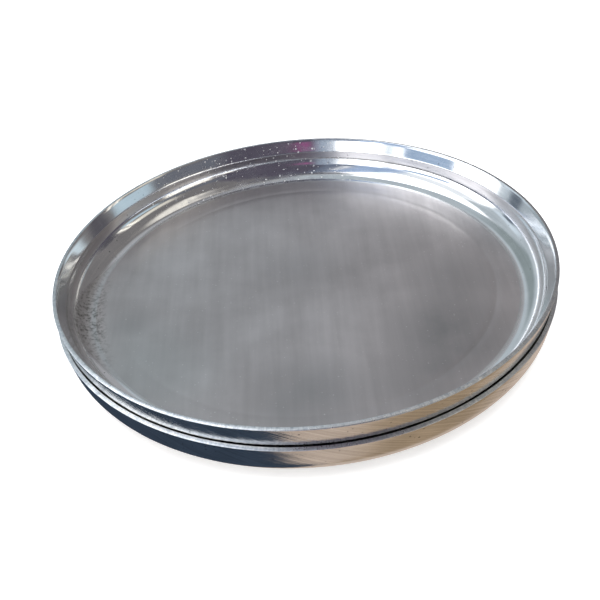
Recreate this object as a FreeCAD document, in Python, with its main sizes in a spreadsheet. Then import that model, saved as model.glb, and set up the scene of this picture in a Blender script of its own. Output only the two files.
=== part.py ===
"""Two round shallow pans, one nested in the other, as a parametric document.

Each pan is one piece of metal: a flat base, a wide rounded corner, and a side that rises
to a square-cut rim. Outside, the side is one plain taper. Inside, it is a short steep
wall and above it a lip that leans outwards, so the metal is thickest at the crease
between them. Both pans are alike, so one function draws the section and the document
uses it twice.

Frame: millimetres, +Z up, origin on the table under the middle of the lower pan.
"""
import FreeCAD
import Part
import math
import os
import Sketcher

# Driving dimensions, in millimetres and degrees. Every other size follows from these.
DIMENSIONS = {
    "rim_radius": 150.0,        # outer edge of the rim
    "sheet": 2.3,               # thickness of the base and of the cut rim
    "inner_depth": 24.0,        # rim down to the upper face of the base
    "lip_depth": 8.0,           # rim down to the crease where the lip meets the wall
    "lip_angle": 28.0,          # flare of the lip's inner face, from vertical
    "wall_angle": 3.0,          # draft of the wall's inner face, from vertical
    "outside_angle": 11.5,      # taper of the whole outside, from vertical
    "corner_inside": 14.5,      # inside radius between wall and base
    "corner_outside": 19.3,     # outside radius between side and base
    "crease_radius": 3.1,       # radius of the bend between wall and lip
    "edge_radius": 0.4,         # broken corners of the cut rim
    "nest_pitch": 13.65,        # height of a seated pan above the one that holds it
}
TIGHTEST_SEAT = 0.2           # least clearance of a seated pan
LOOSEST_SEAT = 0.5            # most clearance of a seated pan
RING_TOLERANCE = 0.05         # how near a ring lies to the section corner it came from
FULL_TURN = 360.0


def make_sheet(doc):
    """Put the driving dimensions in a spreadsheet, one named cell each."""
    sheet = doc.addObject("Spreadsheet::Sheet", "Sizes")
    for row, (name, value) in enumerate(DIMENSIONS.items(), start=1):
        sheet.set("A%d" % row, name)
        sheet.set("B%d" % row, str(value))
        sheet.setAlias("B%d" % row, name)
    doc.recompute()
    return sheet


def section_corners():
    """Corners of the half section (radius, height), in order round the metal."""
    size = DIMENSIONS
    lean = math.radians(size["outside_angle"])
    lip_slope = math.tan(math.radians(size["lip_angle"]))
    wall_slope = math.tan(math.radians(size["wall_angle"]))
    top = size["inner_depth"] + size["sheet"]
    rim_out = (size["rim_radius"], top - size["sheet"] * math.sin(lean))
    rim_in = (size["rim_radius"] - size["sheet"] * math.cos(lean), top)
    crease_in = (rim_in[0] - size["lip_depth"] * lip_slope, top - size["lip_depth"])
    base_in = (crease_in[0] - (crease_in[1] - size["sheet"]) * wall_slope, size["sheet"])
    base_out = (rim_out[0] - rim_out[1] * math.tan(lean), 0.0)
    return {"axis_under": (0.0, 0.0), "base_out": base_out, "rim_out": rim_out,
            "rim_in": rim_in, "crease_in": crease_in, "base_in": base_in,
            "axis_top": (0.0, size["sheet"])}


def draw_section(body, name):
    """Sketch the half section: seven straight edges, held by the named dimensions."""
    plane = [item for item in body.Origin.OriginFeatures if item.Role == "XZ_Plane"][0]
    sketch = body.newObject("Sketcher::SketchObject", name)
    sketch.AttachmentSupport = [(plane, "")]
    sketch.MapMode = "FlatFace"
    corners = [FreeCAD.Vector(x, y, 0) for x, y in section_corners().values()]
    count = len(corners)
    for index in range(count):
        following = corners[(index + 1) % count]
        sketch.addGeometry(Part.LineSegment(corners[index], following), False)
    start, end, origin = 1, 2, -1
    rule = Sketcher.Constraint
    for index in range(count):
        sketch.addConstraint(rule("Coincident", index, end, (index + 1) % count, start))

    under, side, edge, lip, wall, floor, axis = range(count)
    sketch.addConstraint(rule("Coincident", under, start, origin, start))
    sketch.addConstraint(rule("Horizontal", under))
    sketch.addConstraint(rule("Horizontal", floor))
    sketch.addConstraint(rule("Vertical", axis))
    sketch.addConstraint(rule("Perpendicular", edge, side))

    def bind(kind, places, value, formula):
        """Add one driving dimension and tie it to the spreadsheet."""
        index = sketch.addConstraint(rule(kind, *places, value))
        sketch.setExpression("Constraints[%d]" % index, formula)

    size = DIMENSIONS
    edge_run = size["sheet"] * math.cos(math.radians(size["outside_angle"]))
    lip_run = size["lip_depth"] * math.tan(math.radians(size["lip_angle"]))
    wall_depth = size["inner_depth"] - size["lip_depth"]
    wall_run = wall_depth * math.tan(math.radians(size["wall_angle"]))
    bind("Distance", (axis,), size["sheet"], "Sizes.sheet")
    bind("Distance", (edge,), size["sheet"], "Sizes.sheet")
    bind("DistanceX", (edge, end, edge, start), edge_run,
         "Sizes.sheet * cos(Sizes.outside_angle)")
    bind("DistanceX", (origin, start, edge, start), size["rim_radius"], "Sizes.rim_radius")
    bind("DistanceY", (floor, start, lip, start), size["inner_depth"], "Sizes.inner_depth")
    bind("DistanceY", (lip, end, lip, start), size["lip_depth"], "Sizes.lip_depth")
    bind("DistanceX", (lip, end, lip, start), lip_run,
         "Sizes.lip_depth * tan(Sizes.lip_angle)")
    bind("DistanceX", (wall, end, wall, start), wall_run,
         "(Sizes.inner_depth - Sizes.lip_depth) * tan(Sizes.wall_angle)")
    return sketch


def ring_edges(shape, corner):
    """Names of the circular edges about the axis that pass through a section corner."""
    radius, height = corner
    names = []
    for index, edge in enumerate(shape.Edges, start=1):
        if not isinstance(edge.Curve, Part.Circle):
            continue
        off_radius = abs(edge.Curve.Radius - radius)
        off_height = abs(edge.Curve.Center.z - height)
        if off_radius < RING_TOLERANCE and off_height < RING_TOLERANCE:
            names.append("Edge%d" % index)
    return names


def round_off(doc, body, corner_names, radius_formula, label):
    """Round the rings at some section corners with one bound radius."""
    base = body.Tip
    corners = section_corners()
    edges = []
    for name in corner_names:
        found = ring_edges(base.Shape, corners[name])
        if not found:
            raise RuntimeError("no ring at corner " + name)
        edges += found
    fillet = body.newObject("PartDesign::Fillet", label)
    fillet.Base = (base, edges)
    fillet.setExpression("Radius", radius_formula)
    doc.recompute()
    return fillet


def make_pan(doc, node):
    """One pan, standing on its base with its axis along Z."""
    body = doc.addObject("PartDesign::Body", node)
    body.Label = node
    sketch = draw_section(body, node + "_section")
    doc.recompute()
    spun = body.newObject("PartDesign::Revolution", node + "_spun")
    spun.Profile = sketch
    spun.ReferenceAxis = (sketch, ["V_Axis"])
    spun.Angle = FULL_TURN
    sketch.Visibility = False
    doc.recompute()
    round_off(doc, body, ["base_in"], "Sizes.corner_inside", node + "_corner_inside")
    round_off(doc, body, ["base_out"], "Sizes.corner_outside", node + "_corner_outside")
    round_off(doc, body, ["crease_in"], "Sizes.crease_radius", node + "_crease")
    round_off(doc, body, ["rim_in", "rim_out"], "Sizes.edge_radius", node + "_rim_edges")
    return body


def check_document(doc, bodies):
    """Stop if any feature failed or any pan is not one valid solid."""
    for item in doc.Objects:
        if "Invalid" in item.State or "Error" in item.State:
            raise RuntimeError("failed feature: " + item.Name)
    for body in bodies:
        shape = body.Shape
        if shape.isNull() or not shape.isValid() or len(shape.Solids) != 1:
            raise RuntimeError("bad shape: " + body.Label)
        sketches = [item for item in body.Group if item.isDerivedFrom("Sketcher::SketchObject")]
        if any(sketch.solve() != 0 for sketch in sketches):
            raise RuntimeError("unsolved sketch in " + body.Label)
        box = shape.optimalBoundingBox()
        print("%s: volume %.0f mm3, across %.2f, from z %.2f to %.2f"
              % (body.Label, shape.Volume, box.XLength, box.ZMin, box.ZMax))


def main():
    doc = FreeCAD.newDocument("nested_pans")
    make_sheet(doc)
    lower = make_pan(doc, "lower_pan")
    upper = make_pan(doc, "upper_pan")
    upper.setExpression("Placement.Base.z", "Sizes.nest_pitch")
    doc.recompute()
    pans = [lower, upper]
    check_document(doc, pans)

    gap = lower.Shape.distToShape(upper.Shape)[0]
    print("clearance of the seated pan: %.3f mm" % gap)
    if not TIGHTEST_SEAT < gap < LOOSEST_SEAT:
        raise RuntimeError("nest_pitch doesn't seat the upper pan")

    os.makedirs("parts", exist_ok=True)
    for pan in pans:
        pan.Shape.exportStep("parts/%s.step" % pan.Label)
    print("wrote", len(pans), "step files")


main()
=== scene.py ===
# %% [markdown]
# # Two round metal pans, one nested in the other
# This lesson dresses a finished CAD model. The model is two equal pans,
# each one piece of metal: a flat satin base, a rounded corner, a short steep wall and a
# polished lip that leans out to a square-cut rim, in a plainly tapered outside. We rebuild
# both pans as fine meshes, give them four metal finishes, and then build the surroundings
# that they mirror.

# %% Start from the CAD frame
import bmesh
import bpy
import math
from mathutils import Matrix, Vector, noise


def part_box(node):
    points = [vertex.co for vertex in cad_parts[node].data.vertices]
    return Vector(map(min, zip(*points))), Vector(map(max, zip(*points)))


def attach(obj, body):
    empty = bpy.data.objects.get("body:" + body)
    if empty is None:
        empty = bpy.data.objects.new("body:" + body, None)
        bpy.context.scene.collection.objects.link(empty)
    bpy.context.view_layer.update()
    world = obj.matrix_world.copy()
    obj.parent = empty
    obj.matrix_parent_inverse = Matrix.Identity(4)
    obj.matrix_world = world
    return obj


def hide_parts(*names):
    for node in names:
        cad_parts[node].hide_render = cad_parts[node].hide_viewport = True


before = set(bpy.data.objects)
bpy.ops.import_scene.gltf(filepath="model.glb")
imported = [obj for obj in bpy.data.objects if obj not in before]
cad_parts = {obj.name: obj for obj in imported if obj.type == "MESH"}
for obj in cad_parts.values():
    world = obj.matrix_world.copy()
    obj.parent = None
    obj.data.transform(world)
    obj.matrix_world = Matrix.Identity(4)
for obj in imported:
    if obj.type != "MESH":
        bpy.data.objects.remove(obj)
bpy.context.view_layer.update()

# %% [markdown]
# ## The section of one pan
# A pan is a body of revolution, so its whole shape is one half section. We name the few
# sizes that a pan maker would ask for and work out the corners from them. They lie in
# order round the metal, first the outside, then the inside. A faint turned ring in the
# base is three more points: too shallow to feel, but satin metal shows it as a line.

# %% Sizes of the metal, in metres and radians
RIM_RADIUS = 0.150
SHEET = 0.0023
INNER_DEPTH = 0.024
LIP_DEPTH = 0.008
LIP_ANGLE = math.radians(28.0)
WALL_ANGLE = math.radians(3.0)
OUTSIDE_ANGLE = math.radians(11.5)
CORNER_INSIDE = 0.0145
CORNER_OUTSIDE = 0.0193
CREASE_RADIUS = 0.0031
EDGE_RADIUS = 0.0004
PAN_HEIGHT = INNER_DEPTH + SHEET
RING_RADIUS = 0.1155
RING_HALF_WIDTH = 0.0011
RING_DEPTH = 0.0001

lower_low, lower_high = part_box("lower_pan")
upper_low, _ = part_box("upper_pan")
STACK_PITCH = upper_low[2] - lower_low[2]
print("stack pitch %.2f mm, pan height %.2f mm" % (STACK_PITCH * 1e3, (lower_high[2] - lower_low[2]) * 1e3))


# %% Corners of the half section
def section_corners():
    """Radius and height of each corner, outside first, then inside."""
    rim_out = (RIM_RADIUS, PAN_HEIGHT - SHEET * math.sin(OUTSIDE_ANGLE))
    rim_in = (RIM_RADIUS - SHEET * math.cos(OUTSIDE_ANGLE), PAN_HEIGHT)
    crease_in = (rim_in[0] - LIP_DEPTH * math.tan(LIP_ANGLE), PAN_HEIGHT - LIP_DEPTH)
    base_in = (crease_in[0] - (crease_in[1] - SHEET) * math.tan(WALL_ANGLE), SHEET)
    base_out = (rim_out[0] - rim_out[1] * math.tan(OUTSIDE_ANGLE), 0.0)
    return {"under": (0.0, 0.0), "base_out": base_out, "rim_out": rim_out, "rim_in": rim_in,
            "crease_in": crease_in, "base_in": base_in,
            "ring_outer": (RING_RADIUS + RING_HALF_WIDTH, SHEET),
            "ring_bottom": (RING_RADIUS, SHEET - RING_DEPTH),
            "ring_inner": (RING_RADIUS - RING_HALF_WIDTH, SHEET),
            "floor": (0.0, SHEET)}


CORNERS = section_corners()
FLAT_RADIUS = CORNERS["base_in"][0] - CORNER_INSIDE * math.tan((math.pi / 2 - WALL_ANGLE) / 2)
for corner_name, place in CORNERS.items():
    print("%-11s radius %6.2f mm, height %5.2f mm" % (corner_name, place[0] * 1e3, place[1] * 1e3))
print("flat part of the base reaches radius %.2f mm" % (FLAT_RADIUS * 1e3))

# %% [markdown]
# ## Rounding the corners
# Metal never bends on a sharp line. A vertex bevel rounds a corner of a flat outline, and
# its offset is measured along the edges, so a bend of a given radius needs the radius
# times the tangent of half the turn. A profile of 0.5 makes the round circular.

# %% Radius of each bend, and how many steps round it
BENDS = {
    "base_out": (CORNER_OUTSIDE, 18),
    "base_in": (CORNER_INSIDE, 22),
    "crease_in": (CREASE_RADIUS, 7),
    "rim_out": (EDGE_RADIUS, 3),
    "rim_in": (EDGE_RADIUS, 3),
}


def turn_at(vert):
    """How far the outline turns at a corner of a flat face."""
    first, second = [edge.other_vert(vert).co - vert.co for edge in vert.link_edges]
    return math.pi - first.angle(second)


print("rounded corners:", ", ".join(BENDS))

# %% [markdown]
# ## Spinning the metal
# The rounded outline is turned a full circle about Z, as a pan is on its lathe. The edge
# on the axis is dropped first, so that no needle of edges is left inside the metal, and
# the points that meet on the axis are merged. Only then are the normals of the closed
# shell worked out afresh, because a spin can leave them pointing inwards.

# %% Outline and spin
TURNS = 360
CIRCULAR = 0.5
ON_AXIS = 1e-7
LONG_EDGE, BASE_RINGS = 0.05, 28
SHORT_EDGE, WALL_RINGS = 0.004, 3
MERGE_DISTANCE = 1e-6


def pan_shell(lift):
    """Closed bmesh of one pan whose underside is at that height."""
    bm = bmesh.new()
    named = {name: bm.verts.new((r, 0, z + lift)) for name, (r, z) in CORNERS.items()}
    bm.faces.new(list(named.values()))
    offsets = {name: radius * math.tan(turn_at(named[name]) / 2)
               for name, (radius, _) in BENDS.items()}
    for name, (_, steps) in BENDS.items():
        bmesh.ops.bevel(bm, geom=[named[name]], offset=offsets[name], segments=steps,
                        profile=CIRCULAR, affect="VERTICES", material=-1)
    bmesh.ops.delete(bm, geom=bm.faces[:], context="FACES_ONLY")
    on_axis = [edge for edge in bm.edges if all(v.co.x < ON_AXIS for v in edge.verts)]
    bmesh.ops.delete(bm, geom=on_axis, context="EDGES")
    walls = [edge for edge in bm.edges if SHORT_EDGE < edge.calc_length() < LONG_EDGE]
    bmesh.ops.subdivide_edges(bm, edges=walls, cuts=WALL_RINGS)
    long_edges = [edge for edge in bm.edges if edge.calc_length() > LONG_EDGE]
    bmesh.ops.subdivide_edges(bm, edges=long_edges, cuts=BASE_RINGS)
    bmesh.ops.spin(bm, geom=bm.verts[:] + bm.edges[:], cent=(0, 0, 0), axis=(0, 0, 1),
                   angle=math.tau, steps=TURNS, use_merge=True)
    bmesh.ops.remove_doubles(bm, verts=bm.verts[:], dist=MERGE_DISTANCE)
    bmesh.ops.recalc_face_normals(bm, faces=bm.faces[:])
    return bm


trial = pan_shell(0.0)
print("faces:", len(trial.faces), "open edges:", sum(not e.is_manifold for e in trial.edges))
trial.free()

# %% [markdown]
# ## Unevenness from making and use
# No pan is a perfect circle: the wall ripples by a tenth of a millimetre, and the cut rim
# carries a few nicks from knocks. On polished metal such small slopes bend every
# reflection, so they are what makes it look real. Smooth noise, read at each point, moves the inner
# and outer skin together and stays well inside the seat clearance of the two pans.

# %% Ripples
RIPPLE = 0.00012
BROAD, BROAD_UP = 3.1, 22.0
FINE, FINE_UP, FINE_SHARE = 11.0, 70.0, 0.30


def ripple(bm, lift, seed):
    """Move the wall in and out a little along smooth noise."""
    for vert in bm.verts:
        radius = math.hypot(vert.co.x, vert.co.y)
        if radius < FLAT_RADIUS:
            continue
        outward = Vector((vert.co.x, vert.co.y, 0)) / radius
        height = vert.co.z - lift
        broad = Vector((outward.x * BROAD, outward.y * BROAD, seed + height * BROAD_UP))
        fine = Vector((outward.x * FINE, outward.y * FINE, seed * 2 + height * FINE_UP))
        grow = min((radius - FLAT_RADIUS) / (CORNERS["base_in"][0] - FLAT_RADIUS), 1)
        vert.co += outward * RIPPLE * grow * (noise.noise(broad) + FINE_SHARE * noise.noise(fine))


# %% Nicks in the rim: angle in degrees from +X, half width and depth in metres
NICKS = [(-41, 0.0022, 0.00035), (-44, 0.0016, 0.00030), (-72, 0.0014, 0.00022),
         (-139, 0.0030, 0.00035), (-133, 0.0018, 0.00030), (38, 0.0016, 0.00025)]


def nick_rim(bm, lift, turned):
    """Press a few small dents into the top of the cut rim."""
    for degrees, width, depth in NICKS:
        angle = math.radians(degrees + turned)
        centre = Vector((math.cos(angle) * RIM_RADIUS, math.sin(angle) * RIM_RADIUS, lift + PAN_HEIGHT))
        for vert in bm.verts:
            near = (vert.co - centre).length / width
            if near < 1:
                vert.co.z -= depth * (1 - near * near)


print("ripple %.2f mm, %d nicks" % (RIPPLE * 1e3, len(NICKS)))

# %% [markdown]
# ## Which face gets which finish
# Four bands of the shell are finished differently: the satin base, the polished cove,
# wall and lip, the outside, and the raw cut rim. Each face is sorted by where it lies in
# the section, so the same rule serves both pans.

# %% Sort the faces into bands
SATIN, POLISHED, OUTSIDE, CUT_EDGE = range(4)
EDGE_REACH = 0.53
LOOK_UP = 0.06


def band_of(centre, normal, lift):
    """Number of the finish for a face with that centre and normal."""
    radius = math.hypot(centre.x, centre.y)
    height = centre.z - lift
    rim_mid = ((CORNERS["rim_in"][0] + CORNERS["rim_out"][0]) / 2,
               (CORNERS["rim_in"][1] + CORNERS["rim_out"][1]) / 2)
    if math.hypot(radius - rim_mid[0], height - rim_mid[1]) < SHEET * EDGE_REACH:
        return CUT_EDGE
    if Vector((-centre.x, -centre.y, LOOK_UP)).dot(normal) < 0:
        return OUTSIDE
    return SATIN if radius < FLAT_RADIUS else POLISHED


print("bands: satin, polished, outside, cut edge")

# %% [markdown]
# ## The pans
# Each mesh pan rides on the body of the CAD pan that it replaces, so it lifts with the
# joint. The mesh carries its own place and the object stays at the origin, unturned,
# because the finishes read the object's own coordinates.

# %% Build both pans
def make_pan(name, body, lift, seed, turned):
    """One finished pan that stands in for the CAD node of the same body."""
    bm = pan_shell(lift)
    ripple(bm, lift, seed)
    nick_rim(bm, lift, turned)
    bm.normal_update()
    for face in bm.faces:
        face.material_index = band_of(face.calc_center_median(), face.normal, lift)
        face.smooth = True
    mesh = bpy.data.meshes.new(name)
    bm.to_mesh(mesh)
    bm.free()
    pan = bpy.data.objects.new(name, mesh)
    bpy.context.scene.collection.objects.link(pan)
    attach(pan, body)
    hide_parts(body)
    print(name, "has", len(mesh.polygons), "faces")
    return pan


lower = make_pan("lower_pan_shell", "lower_pan", lower_low[2], 1.0, -3.0)
upper = make_pan("upper_pan_shell", "upper_pan", upper_low[2], 9.0, 0.0)

# %% [markdown]
# ## Small helpers for node materials
# A material is a little network. These helpers add a node and join its sockets in one
# line, so that each finish below reads like a recipe. Anything that is the same all over
# a surface is set on the shader itself; only what varies comes through a link.

# %% Node helpers
def new_material(name, metallic, roughness):
    """Principled material with its constants set on the shader itself."""
    material = bpy.data.materials.new(name)
    material.use_nodes = True
    shader = material.node_tree.nodes["Principled BSDF"]
    shader.inputs["Metallic"].default_value = metallic
    shader.inputs["Roughness"].default_value = roughness
    return material, shader


def add_node(tree, kind, **settings):
    """New node; a setting that is the name of a socket sets it, any other the node."""
    node = tree.nodes.new(kind)
    for key, value in settings.items():
        if key in node.inputs:
            node.inputs[key].default_value = value
        else:
            setattr(node, key, value)
    return node


def join(tree, source, target):
    tree.links.new(source, target)


def math_node(tree, operation, *items):
    """Math node on sockets or plain numbers."""
    node = add_node(tree, "ShaderNodeMath", operation=operation)
    for index, item in enumerate(items):
        if isinstance(item, (int, float)):
            node.inputs[index].default_value = item
        else:
            join(tree, item, node.inputs[index])
    return node.outputs["Value"]


def spread(tree, source, low, high, to_low=0.0, to_high=1.0, smooth=False):
    """Map one range of a value onto another, clamped, in a straight line or an S."""
    node = add_node(tree, "ShaderNodeMapRange")
    if smooth:
        node.interpolation_type = "SMOOTHSTEP"
    for socket, value in zip(("From Min", "From Max", "To Min", "To Max"), (low, high, to_low, to_high)):
        node.inputs[socket].default_value = value
    join(tree, source, node.inputs["Value"])
    return node.outputs["Result"]


def blend_colours(tree, factor, first, second):
    """Mix two colours, given as numbers or sockets, by a value from 0 to 1."""
    node = add_node(tree, "ShaderNodeMix", data_type="RGBA")
    join(tree, factor, node.inputs["Factor"])
    for socket, colour in (("A", first), ("B", second)):
        target = [s for s in node.inputs if s.name == socket and s.type == "RGBA"][0]
        if isinstance(colour, tuple):
            target.default_value = (*colour, 1)
        else:
            join(tree, colour, target)
    return [s for s in node.outputs if s.type == "RGBA"][0]


def weigh(tree, *pairs):
    """Weighted sum of several values."""
    total = None
    for source, share in pairs:
        part = math_node(tree, "MULTIPLY", source, share)
        total = part if total is None else math_node(tree, "ADD", total, part)
    return total


print("helpers ready")

# %% [markdown]
# ## Patterns on the pan
# Everything is read from object coordinates, which are metres in the frame of the model.
# Clouds and grain are noise. Streaks are noise squeezed along one direction. Marks that
# run round the pan, such as turning lines and scuffs, need the angle round the axis, and
# its seam is put at the back. A soft spot fades with the distance from a point.

# %% Patterns
def object_place(tree, scale=(1, 1, 1), turn=0.0):
    """Object coordinates, stretched and turned about Z."""
    coordinates = add_node(tree, "ShaderNodeTexCoord")
    mapping = add_node(tree, "ShaderNodeMapping", Scale=scale, Rotation=(0, 0, turn))
    join(tree, coordinates.outputs["Object"], mapping.inputs["Vector"])
    return mapping.outputs["Vector"]


def split_place(tree):
    """The three object coordinates one by one."""
    parts = add_node(tree, "ShaderNodeSeparateXYZ")
    join(tree, object_place(tree), parts.inputs["Vector"])
    return [parts.outputs[axis] for axis in "XYZ"]


def grain(tree, place, scale, detail=3.0, roughness=0.55):
    texture = add_node(tree, "ShaderNodeTexNoise", Scale=scale, Detail=detail, Roughness=roughness)
    join(tree, place, texture.inputs["Vector"])
    return texture.outputs["Fac"]


def specks(tree, place, scale, size):
    """Sharp dots, one in some cells of a Voronoi pattern, 1 on a dot and 0 elsewhere."""
    cells = add_node(tree, "ShaderNodeTexVoronoi", Scale=scale, Randomness=1.0)
    join(tree, place, cells.inputs["Vector"])
    chosen = add_node(tree, "ShaderNodeSeparateColor")
    join(tree, cells.outputs["Color"], chosen.inputs["Color"])
    reach = math_node(tree, "MULTIPLY", math_node(tree, "POWER", chosen.outputs["Red"], 6.0), size)
    return math_node(tree, "LESS_THAN", cells.outputs["Distance"], reach)


def round_place(tree, round_scale, up_scale, slope=0.0):
    """Vector that runs round the pan and up it, for marks that follow the turning."""
    across, along, up = split_place(tree)
    angle = math_node(tree, "ARCTAN2", across, math_node(tree, "MULTIPLY", along, -1.0))
    slanted = math_node(tree, "ADD", angle, math_node(tree, "MULTIPLY", up, slope))
    vector = add_node(tree, "ShaderNodeCombineXYZ")
    join(tree, math_node(tree, "MULTIPLY", slanted, round_scale), vector.inputs["X"])
    join(tree, math_node(tree, "MULTIPLY", up, up_scale), vector.inputs["Y"])
    return vector.outputs["Vector"]


def soft_spot(tree, centre, reach):
    """1 at a point of the pan, fading to 0 at that distance."""
    distance = add_node(tree, "ShaderNodeVectorMath", operation="DISTANCE")
    join(tree, object_place(tree), distance.inputs[0])
    distance.inputs[1].default_value = centre
    return spread(tree, distance.outputs["Value"], 0.0, reach, 1.0, 0.0, smooth=True)


def radius_of(tree):
    across, along, _ = split_place(tree)
    squares = [math_node(tree, "MULTIPLY", item, item) for item in (across, along)]
    return math_node(tree, "SQRT", math_node(tree, "ADD", *squares))


def bump(tree, shader, height, distance, strength=1.0):
    node = add_node(tree, "ShaderNodeBump", Strength=strength, Distance=distance)
    join(tree, height, node.inputs["Height"])
    join(tree, node.outputs["Normal"], shader.inputs["Normal"])


print("patterns ready")

# %% [markdown]
# ## Satin base
# The base is scoured, not polished: a dull satin with cloudy wear, faint straight streaks
# from wiping, and white dust. We could paint it as grey paint, but it is bare metal, so
# it stays fully metallic and the clouds go into both its colour and its roughness. Dried
# dirt gathers in an arc beside the cove, and a few smudges and a pale patch are soft spots.

# %% Satin base
UPPER_FLOOR = STACK_PITCH + SHEET
PALE_CENTRE, PALE_REACH = (-0.096, -0.064, UPPER_FLOOR), 0.060
SMUDGES = [((0.080, -0.056, UPPER_FLOOR), 0.060, 0.60), ((0.056, -0.096, UPPER_FLOOR), 0.045, 0.35),
           ((-0.004, -0.098, UPPER_FLOOR), 0.055, 0.40), ((-0.106, -0.020, UPPER_FLOOR), 0.024, 0.28),
           ((-0.004, 0.020, UPPER_FLOOR), 0.050, 0.22), ((0.092, -0.004, UPPER_FLOOR), 0.048, 0.32)]
DIRT_CENTRE, DIRT_REACH = (-0.127, -0.014, UPPER_FLOOR), 0.058
DIRT_WIDTH = 0.007
DARK_SATIN, LIGHT_SATIN = (0.48, 0.455, 0.46), (0.68, 0.645, 0.65)
PALE_TINT, SMUDGE_TINT = (0.55, 0.585, 0.59), (0.22, 0.23, 0.24)
DIRT_TINT, DUST_TINT = (0.13, 0.13, 0.12), (0.95, 0.95, 0.95)


def satin_base():
    material, shader = new_material("satin_base", 1.0, 0.36)
    tree = material.node_tree
    place = object_place(tree)
    clouds = grain(tree, place, 11, 3)
    patches = grain(tree, place, 38, 4)
    streaks = grain(tree, object_place(tree, (90, 5, 1), 0.06), 1.6, 4)
    tone = weigh(tree, (clouds, 0.40), (patches, 0.33), (streaks, 0.27))
    colour = blend_colours(tree, spread(tree, tone, 0.36, 0.64), DARK_SATIN, LIGHT_SATIN)

    pale = math_node(tree, "MULTIPLY", soft_spot(tree, PALE_CENTRE, PALE_REACH), clouds)
    colour = blend_colours(tree, pale, colour, PALE_TINT)
    for centre, reach, depth in SMUDGES:
        smudge = math_node(tree, "MULTIPLY", soft_spot(tree, centre, reach), patches)
        colour = blend_colours(tree, spread(tree, smudge, 0.1, 0.6, 0, depth), colour, SMUDGE_TINT)

    near_cove = spread(tree, radius_of(tree), FLAT_RADIUS - DIRT_WIDTH, FLAT_RADIUS)
    dirt_arc = math_node(tree, "MULTIPLY", soft_spot(tree, DIRT_CENTRE, DIRT_REACH), near_cove)
    dirt = math_node(tree, "MULTIPLY", dirt_arc, spread(tree, grain(tree, place, 420, 5, 0.7), 0.46, 0.62))
    colour = blend_colours(tree, spread(tree, dirt, 0.02, 0.6, 0, 0.65), colour, DIRT_TINT)
    dust = math_node(tree, "MULTIPLY", specks(tree, place, 520, 0.24), 0.40)
    colour = blend_colours(tree, dust, colour, DUST_TINT)
    join(tree, colour, shader.inputs["Base Color"])

    rough = spread(tree, tone, 0.3, 0.7, 0.42, 0.31)
    join(tree, math_node(tree, "ADD", rough, math_node(tree, "MULTIPLY", dirt_arc, 0.15)),
         shader.inputs["Roughness"])
    bump(tree, shader, weigh(tree, (grain(tree, place, 1500, 2), 0.7), (streaks, 0.3)), 0.00003)
    return material


# %% [markdown]
# ## Polished cove, wall and lip
# This band was buffed while the pan turned, so its fine scratches run round the pan and
# stretch each highlight across them. An anisotropic shader does that when its tangent is
# radial about Z. Haze changes the roughness a little, and dust and splashes dull the far
# side of the lip, as on a pan that has stood in a workshop. Hands have left a greasy film
# at its two ends. The lowest edge of the band is scoured like the base, with the dirt.

# %% Polished wall and lip
SPLASH_CENTRE, SPLASH_REACH = (-0.035, 0.140, STACK_PITCH + PAN_HEIGHT - 0.010), 0.100
LIP_HEIGHT = STACK_PITCH + PAN_HEIGHT - 0.004
LIP_START = CORNERS["crease_in"][0]
FILM_CENTRES, FILM_REACH = [(0.147, 0.010, LIP_HEIGHT), (-0.147, -0.016, LIP_HEIGHT)], 0.050
WORN_REACH, WORN_CLIMB = 0.075, 0.012
SCOURED_EDGE, SCOURED_FADE = 0.0015, 0.0012
DARK_POLISH, LIGHT_POLISH = (0.76, 0.77, 0.79), (0.88, 0.89, 0.90)
SPLASH_TINT, DROP_TINT, FLECK_TINT = (0.42, 0.42, 0.50), (0.98, 0.98, 0.98), (0.16, 0.16, 0.16)
FILM_TINT, SCOURED_TINT, GRIME_TINT = (0.40, 0.45, 0.48), (0.58, 0.57, 0.575), (0.12, 0.12, 0.11)


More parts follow.
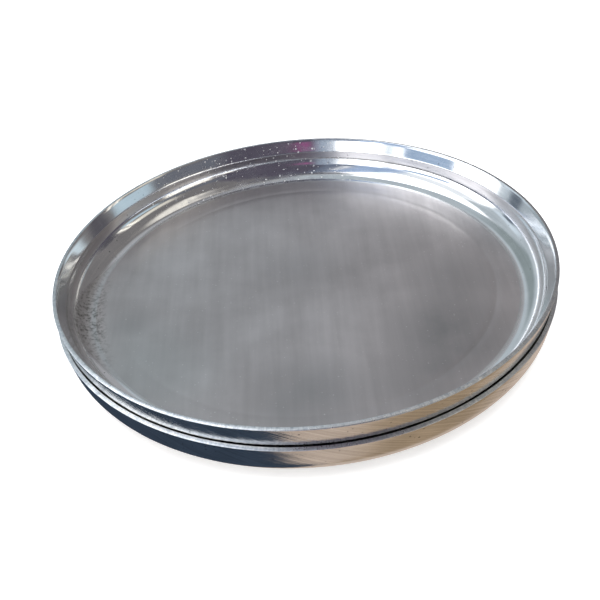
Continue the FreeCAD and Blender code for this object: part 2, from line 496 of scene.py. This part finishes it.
def polished_wall():
    material, shader = new_material("polished_wall", 1.0, 0.10)
    shader.inputs["Anisotropic"].default_value = 0.45
    tree = material.node_tree
    tangent = add_node(tree, "ShaderNodeTangent", direction_type="RADIAL", axis="Z")
    join(tree, tangent.outputs["Tangent"], shader.inputs["Tangent"])
    place = object_place(tree)
    haze = grain(tree, place, 48, 4)
    turning = grain(tree, round_place(tree, 3.0, 900.0), 1.0, 3)
    tone = weigh(tree, (haze, 0.6), (turning, 0.4))
    colour = blend_colours(tree, spread(tree, tone, 0.35, 0.65), DARK_POLISH, LIGHT_POLISH)

    splash = soft_spot(tree, SPLASH_CENTRE, SPLASH_REACH)
    film = math_node(tree, "MULTIPLY", splash, spread(tree, grain(tree, place, 130, 4, 0.65), 0.42, 0.62))
    colour = blend_colours(tree, math_node(tree, "MULTIPLY", film, 0.45), colour, SPLASH_TINT)
    drops = math_node(tree, "MULTIPLY", specks(tree, place, 600, 0.44), spread(tree, splash, 0.05, 0.3))
    colour = blend_colours(tree, drops, colour, DROP_TINT)
    flecks = math_node(tree, "MULTIPLY", specks(tree, object_place(tree, turn=1.0), 420, 0.22), 0.7)
    colour = blend_colours(tree, flecks, colour, FLECK_TINT)
    on_lip = spread(tree, radius_of(tree), LIP_START - 0.0005, LIP_START + 0.0005, 0.0, 0.6)
    for centre in FILM_CENTRES:
        filmed = math_node(tree, "MULTIPLY", soft_spot(tree, centre, FILM_REACH), on_lip)
        colour = blend_colours(tree, filmed, colour, FILM_TINT)

    worn = soft_spot(tree, DIRT_CENTRE, WORN_REACH)
    edge = math_node(tree, "ADD", FLAT_RADIUS + SCOURED_EDGE, math_node(tree, "MULTIPLY", worn, WORN_CLIMB))
    depth = math_node(tree, "SUBTRACT", edge, radius_of(tree))
    scoured = spread(tree, depth, -SCOURED_FADE, SCOURED_FADE, smooth=True)
    mottle = spread(tree, grain(tree, place, 420, 5, 0.7), 0.46, 0.62)
    dirt = math_node(tree, "MULTIPLY", math_node(tree, "MULTIPLY", worn, scoured), mottle)
    colour = blend_colours(tree, math_node(tree, "MULTIPLY", scoured, 0.8), colour, SCOURED_TINT)
    colour = blend_colours(tree, math_node(tree, "MULTIPLY", dirt, 0.75), colour, GRIME_TINT)
    join(tree, colour, shader.inputs["Base Color"])

    rough = spread(tree, tone, 0.3, 0.7, 0.07, 0.13)
    dulled = math_node(tree, "ADD", rough, math_node(tree, "MULTIPLY", film, 0.16))
    dulled = math_node(tree, "ADD", dulled, math_node(tree, "MULTIPLY", drops, 0.5))
    join(tree, math_node(tree, "ADD", dulled, math_node(tree, "MULTIPLY", scoured, 0.24)),
         shader.inputs["Roughness"])
    bump(tree, shader, grain(tree, place, 60, 2), 0.0002, 0.25)
    return material


# %% [markdown]
# ## Outside
# The outside was only rough-turned. The tool chattered and left slanting scores,
# so the noise is read in coordinates that run round the pan and lean with the height.
# They are scratches, so they go into the bump as well as the colour.

# %% Outside
DARK_OUTSIDE, LIGHT_OUTSIDE = (0.64, 0.62, 0.59), (0.92, 0.90, 0.87)
PIT_TINT = (0.20, 0.19, 0.18)


def outside_metal():
    material, shader = new_material("outside_metal", 1.0, 0.12)
    tree = material.node_tree
    place = object_place(tree)
    haze = grain(tree, place, 36, 4)
    scores = grain(tree, round_place(tree, 55.0, 20.0, 14.0), 1.0, 4, 0.6)
    tone = weigh(tree, (haze, 0.42), (scores, 0.58))
    colour = blend_colours(tree, spread(tree, tone, 0.36, 0.64), DARK_OUTSIDE, LIGHT_OUTSIDE)
    pits = math_node(tree, "MULTIPLY", specks(tree, place, 420, 0.26), 0.7)
    colour = blend_colours(tree, pits, colour, PIT_TINT)
    join(tree, colour, shader.inputs["Base Color"])
    join(tree, spread(tree, tone, 0.3, 0.7, 0.08, 0.17), shader.inputs["Roughness"])
    bump(tree, shader, weigh(tree, (haze, 0.3), (scores, 0.7)), 0.00035, 0.45)
    return material


# %% [markdown]
# ## Cut rim
# The rim was sheared and only filed, so it glitters: bright torn grains on a duller metal,
# with filing marks straight across the thickness of the sheet.

# %% Cut rim
DULL_RIM, BRIGHT_RIM = (0.48, 0.52, 0.57), (0.93, 0.95, 0.97)


def cut_rim():
    material, shader = new_material("cut_rim", 1.0, 0.30)
    tree = material.node_tree
    place = object_place(tree)
    grains = grain(tree, place, 520, 3, 0.7)
    filing = grain(tree, round_place(tree, 260.0, 8.0), 1.0, 2)
    worn = grain(tree, place, 22, 3)
    tone = weigh(tree, (grains, 0.5), (filing, 0.25), (worn, 0.25))
    colour = blend_colours(tree, spread(tree, tone, 0.38, 0.62), DULL_RIM, BRIGHT_RIM)
    join(tree, colour, shader.inputs["Base Color"])
    join(tree, spread(tree, tone, 0.35, 0.65, 0.42, 0.24), shader.inputs["Roughness"])
    bump(tree, shader, weigh(tree, (grains, 0.7), (filing, 0.3)), 0.00025, 0.6)
    return material


# %% Put the finishes on both pans, in the order of the bands
for finish in (satin_base(), polished_wall(), outside_metal(), cut_rim()):
    for pan in (lower, upper):
        pan.data.materials.append(finish)
    print("finish:", finish.name, "with", len(finish.node_tree.nodes), "nodes")

# %% [markdown]
# ## Table
# The pans stand on a plain white table. It glows a little, so that it stays nearly white
# right up to the soft shadow under the pans, and the metal doesn't mirror it: the room
# that the metal sees is painted further down.

# %% Table top
TABLE_HALF = 4.0
TABLE_GLOW = 0.45
TABLE_TINT, TABLE_ROUGHNESS = (0.9, 0.9, 0.9), 0.9


def make_table():
    bm = bmesh.new()
    bmesh.ops.create_grid(bm, x_segments=1, y_segments=1, size=TABLE_HALF)
    mesh = bpy.data.meshes.new("table_top")
    bm.to_mesh(mesh)
    bm.free()
    table = bpy.data.objects.new("table_top", mesh)
    bpy.context.scene.collection.objects.link(table)
    material, shader = new_material("white_table", 0.0, TABLE_ROUGHNESS)
    shader.inputs["Base Color"].default_value = (*TABLE_TINT, 1)
    shader.inputs["Emission Color"].default_value = (1, 1, 1, 1)
    shader.inputs["Emission Strength"].default_value = TABLE_GLOW
    mesh.materials.append(material)
    table.visible_glossy = False


make_table()

# %% [markdown]
# ## Camera
# The camera looks down at the pans from arm's length, about 34 degrees above the table,
# and is held a little askew, so that the far right side stands higher. It aims
# slightly to the left of the middle of the upper rim and below it.

# %% Camera
RIM_CENTRE = Vector((0, 0, STACK_PITCH + PAN_HEIGHT))
CAMERA_DISTANCE = 0.60
CAMERA_ELEVATION = math.radians(33.93)
AIM_LEFT = math.radians(0.40)
AIM_DOWN = math.radians(2.575)
ROLL = math.radians(-5.06)
SENSOR_WIDTH, LENS = 36.0, 59.84
NEAREST_SEEN = 0.01


def make_camera():
    data = bpy.data.cameras.new("camera")
    data.sensor_width = SENSOR_WIDTH
    data.lens = LENS
    data.clip_start = NEAREST_SEEN
    camera = bpy.data.objects.new("camera", data)
    bpy.context.scene.collection.objects.link(camera)
    away = Vector((0, -math.cos(CAMERA_ELEVATION), math.sin(CAMERA_ELEVATION)))
    right = Vector((1, 0, 0))
    up = right.cross(-away)
    forward = (-away - right * math.tan(AIM_LEFT) - up * math.tan(AIM_DOWN)).normalized()
    right = (right - forward * right.dot(forward)).normalized()
    up = right.cross(forward)
    side = right * math.cos(ROLL) + up * math.sin(ROLL)
    top = up * math.cos(ROLL) - right * math.sin(ROLL)
    camera.matrix_world = Matrix((side, top, -forward)).transposed().to_4x4()
    camera.location = RIM_CENTRE + away * CAMERA_DISTANCE
    bpy.context.scene.camera = camera
    print("camera at", [round(value, 3) for value in camera.location])


make_camera()

# %% [markdown]
# ## The room that the metal mirrors
# Polished metal has hardly any colour of its own: it shows what stands around it. So the
# World holds a simple room, painted by direction: dim walls, tall bright windows on the
# left with a strip of sky between them, a warm lamp-lit opening on the right, and the
# dark maker in front. Each thing is a soft-edged patch: its middle and half size are an
# azimuth and an elevation in degrees, azimuth 0 lies behind the camera and 90 to its
# right, and a slope lets a patch climb as it goes round. Only reflections see the room.
# The camera and the table see plain white instead.

# %% What stands in the room, from the walls to the small things
WINDOW = (2.3, 2.35, 2.4)
SUNLIT = (3.0, 3.05, 3.1)
CREAM = (1.70, 1.62, 1.44)
ROOM = [
    # name, azimuth, half width, elevation, half height, slope, softness, colour
    ("pale wall on the left", -142, 44, 20, 62, 0, 8, (0.50, 0.56, 0.60)),
    ("grey stretch of that wall", -155, 15, 31, 16, 0, 5, (0.28, 0.33, 0.34)),
    ("wall on the right", 102, 62, 20, 75, 0, 8, (0.20, 0.19, 0.19)),
    ("dark maker in front", 12, 30, 20, 75, 0, 4, (0.095, 0.085, 0.115)),
    ("blue-grey curtain", -25, 10, 58, 30, 0, 3, (0.17, 0.20, 0.27)),
    ("high window", -98, 40, 61, 15, 0, 4, SUNLIT),
    ("dark ceiling", 60, 176, 88, 8, 0, 3, (0.12, 0.12, 0.145)),
    ("pale blind", -120, 10, 15, 7, 0, 3, (0.72, 0.82, 0.90)),
    ("left window", -78, 29, 8, 37, 0, 2.5, WINDOW),
    ("net curtain in that window", -78, 29, 38, 9, 0, 2.5, (1.0, 1.04, 1.08)),
    ("sky over the window", -47, 13, 50, 24, 0, 5, (0.38, 0.50, 0.72)),
    ("front window", -34, 12, 4, 29, 0, 2, WINDOW),
    ("bright slit", -30, 2.5, 54, 12, 0, 1.5, (1.1, 1.1, 1.1)),
    ("blue window frame", -16, 5, 5, 32, 0, 2, (0.36, 0.43, 0.53)),
    ("sky between the windows", -68.5, 13.5, 20, 4, 0.25, 1.2, (0.36, 0.48, 0.66)),
    ("light between the curtains", -49, 1.8, 24, 4, 0.25, 1.2, (0.75, 0.85, 0.92)),
    ("pink cloth", -4.5, 3.5, 27, 5, 0, 2.5, (0.34, 0.10, 0.25)),
    ("hem of the pink cloth", -9, 4, -18, 8, 0, 3, (0.30, 0.08, 0.20)),
    ("narrow lamp", 34, 3, -4, 11, 0, 1.5, CREAM),
    ("dim shelf", 54, 19, 25, 5, -0.15, 2, (0.15, 0.16, 0.19)),
    ("warm opening", 55, 12.5, 7.5, 8.5, 0.1, 2.5, CREAM),
    ("warm opening above", 82, 13, 31, 5.5, -0.15, 2.5, (0.88, 0.83, 0.72)),
    ("warm slat", 95, 1.3, 25, 9, 0, 0.8, CREAM),
    ("second warm slat", 100, 1.3, 24, 9, 0, 0.8, CREAM),
    ("warm band under the ceiling", 117, 36, 63, 6, 0, 3, (1.05, 1.0, 0.90)),
    ("pale door", 86, 11, 16.5, 4, -0.3, 2, (0.52, 0.65, 0.73)),
    ("dark post", 108, 6, 10, 12, 0, 2, (0.10, 0.095, 0.11)),
    ("second pale door", 128, 8, -3, 9, 0, 4, (0.72, 0.84, 0.90)),
    ("dark post on the left", -118, 4, 6, 7, 0, 1.5, (0.15, 0.18, 0.22)),
    ("dark corner on the right", 155, 17, -8, 14, 0, 4, (0.10, 0.09, 0.10)),
    ("bench below", 60, 260, -58, 34, 0, 4, (0.60, 0.50, 0.43)),
    ("shade on the bench", 72, 42, -58, 34, 0, 25, (0.36, 0.275, 0.19)),
    ("blue cloth below on the left", -95, 74, -58, 34, 0, 2, (0.038, 0.056, 0.088)),
]
BACK_WALL = (0.40, 0.405, 0.42)
PLAIN_WHITE = (1.0, 1.0, 1.0)
print(len(ROOM), "things in the room")


# %% Paint the room by direction
def inside(tree, value, half, softness):
    """1 where a value lies within half a width of zero, with a soft edge."""
    off = math_node(tree, "ABSOLUTE", value)
    return spread(tree, off, half - softness, half + softness, 1.0, 0.0, smooth=True)


def make_room():
    world = bpy.data.worlds.new("room")
    bpy.context.scene.world = world
    world.use_nodes = True
    tree = world.node_tree
    coordinates = add_node(tree, "ShaderNodeTexCoord")
    parts = add_node(tree, "ShaderNodeSeparateXYZ")
    join(tree, coordinates.outputs["Generated"], parts.inputs["Vector"])
    across, along, up = [parts.outputs[axis] for axis in "XYZ"]
    around = math_node(tree, "ARCTAN2", across, math_node(tree, "MULTIPLY", along, -1.0))
    azimuth = math_node(tree, "DEGREES", around)
    elevation = math_node(tree, "DEGREES", math_node(tree, "ARCSINE", up))

    seen = BACK_WALL
    for _, turn, half_width, rise, half_height, slope, softness, colour in ROOM:
        sideways = math_node(tree, "SUBTRACT", azimuth, turn)
        climbed = math_node(tree, "MULTIPLY_ADD", sideways, -slope, elevation)
        upwards = math_node(tree, "SUBTRACT", climbed, rise)
        patch = math_node(tree, "MULTIPLY", inside(tree, sideways, half_width, softness),
                          inside(tree, upwards, half_height, softness))
        seen = blend_colours(tree, patch, seen, colour)

    path = add_node(tree, "ShaderNodeLightPath")
    seen = blend_colours(tree, path.outputs["Is Glossy Ray"], PLAIN_WHITE, seen)
    join(tree, seen, tree.nodes["Background"].inputs["Color"])
    print("room painted with", len(tree.nodes), "nodes")


make_room()

# %% [markdown]
# ## Studio light
# One large round lamp overhead gives the even, soft light of a light tent. It lights the
# table and leaves one gentle shadow under the pans, and the metal doesn't mirror it. The
# plain view transform keeps the table white.

# %% Lamp: size and height in metres, power in watts
LAMP_SIZE, LAMP_HEIGHT, LAMP_POWER = 2.2, 2.0, 30


def make_lamp():
    data = bpy.data.lights.new("overhead", "AREA")
    data.shape = "DISK"
    data.size = LAMP_SIZE
    data.energy = LAMP_POWER
    lamp = bpy.data.objects.new("overhead", data)
    bpy.context.scene.collection.objects.link(lamp)
    lamp.location = (0, 0, LAMP_HEIGHT)
    lamp.visible_glossy = False


make_lamp()
bpy.context.scene.view_settings.view_transform = "Standard"
print("lamp and view transform set")
